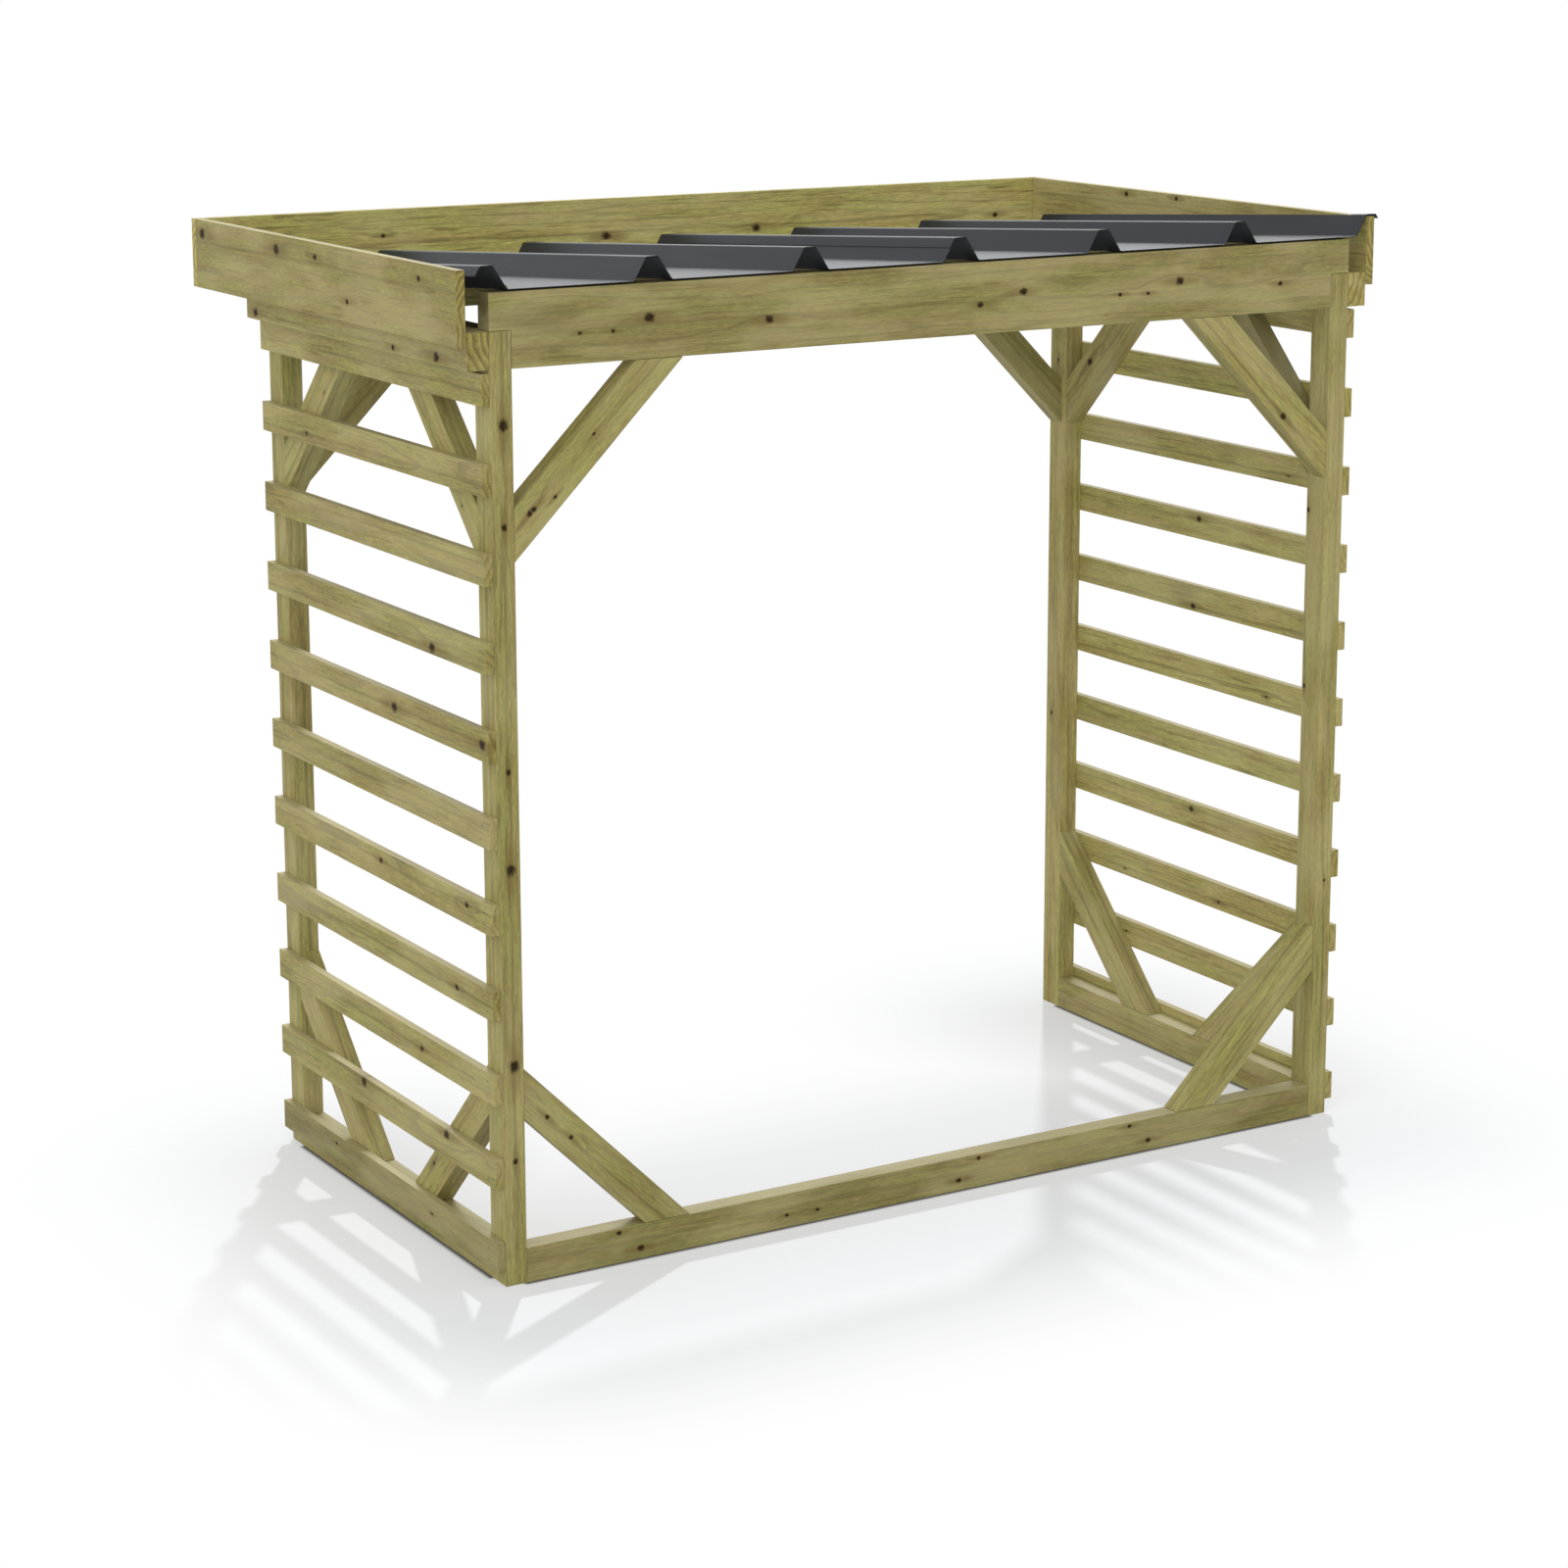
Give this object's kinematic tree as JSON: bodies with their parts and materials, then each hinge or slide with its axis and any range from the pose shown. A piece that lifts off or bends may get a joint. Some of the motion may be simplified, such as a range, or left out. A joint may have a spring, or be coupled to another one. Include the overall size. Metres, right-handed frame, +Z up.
{
  "type": "log store",
  "caption": "Free-standing open-fronted log store with a braced timber frame, slatted sides, a fascia round the sides and back, and a ribbed steel roof that falls to the back.",
  "frame": {"origin": "on the ground, at the middle of the overall box", "axes": "+X along the width to the right seen from the open front, +Y from the front to the back, +Z up"},
  "size_m": [2.1036, 1.231, 1.9265],
  "materials": {
    "frame_timber": "planed pine, green pressure treatment",
    "slat_timber": "planed pine, green pressure treatment",
    "fascia_timber": "planed pine board, green pressure treatment",
    "roof_steel": "satin anthracite coil coating"
  },
  "bodies": {
    "root": {"front_left_post": "frame_timber", "front_right_post": "frame_timber", "back_left_post": "frame_timber", "back_right_post": "frame_timber", "front_bottom_rail": "frame_timber", "left_bottom_rail": "frame_timber", "right_bottom_rail": "frame_timber", "front_beam": "frame_timber", "back_beam": "frame_timber", "left_top_rail": "frame_timber", "right_top_rail": "frame_timber", "front_upper_left_brace": "frame_timber", "front_upper_right_brace": "frame_timber", "front_lower_left_brace": "frame_timber", "front_lower_right_brace": "frame_timber", "back_upper_left_brace": "frame_timber", "back_upper_right_brace": "frame_timber", "left_upper_front_brace": "frame_timber", "left_upper_back_brace": "frame_timber", "left_lower_front_brace": "frame_timber", "left_lower_back_brace": "frame_timber", "right_upper_front_brace": "frame_timber", "right_upper_back_brace": "frame_timber", "right_lower_front_brace": "frame_timber", "right_lower_back_brace": "frame_timber", "left_batten": "frame_timber", "right_batten": "frame_timber", "left_slats": "slat_timber", "right_slats": "slat_timber", "left_fascia": "fascia_timber", "right_fascia": "fascia_timber", "back_fascia": "fascia_timber", "left_roof_sheet": "roof_steel", "right_roof_sheet": "roof_steel"}
  },
  "joints": []
}
